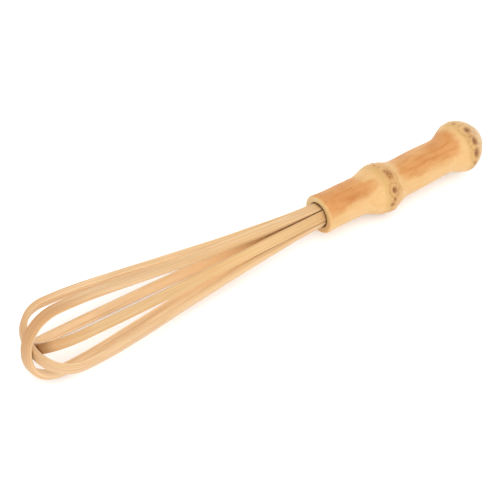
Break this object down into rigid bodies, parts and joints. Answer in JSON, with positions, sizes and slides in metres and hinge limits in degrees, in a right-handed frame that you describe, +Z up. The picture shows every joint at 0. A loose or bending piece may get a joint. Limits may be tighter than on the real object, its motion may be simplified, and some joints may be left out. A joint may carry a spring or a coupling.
{
  "type": "bamboo loop whisk",
  "caption": "Small bamboo balloon whisk: flat strips bent into loops that cross at the tip, with their ends held in the socket of a bamboo root handle.",
  "frame": {"origin": "centre of the small flat at the butt end of the handle", "axes": "+X runs from the butt to the tip, parallel to the neck of the handle; +Z is up as the whisk lies on a table, with the middle loop's plane about level; the rear of the handle is bent slightly upwards"},
  "size_m": [0.1996, 0.0296, 0.0267],
  "materials": {
    "bamboo_root": "smooth sanded bamboo root, toasted orange brown on the internodes and pale at the nodes, satin",
    "bamboo_strip": "planed bamboo strip with fine straight fibres, satin",
    "bamboo_peg": "cut bamboo with visible end grain, matte"
  },
  "bodies": {
    "root": {"handle": "bamboo_root", "centre_peg": "bamboo_peg", "loop_outer": "bamboo_strip", "loop_middle": "bamboo_strip", "loop_inner": "bamboo_strip"}
  },
  "joints": []
}
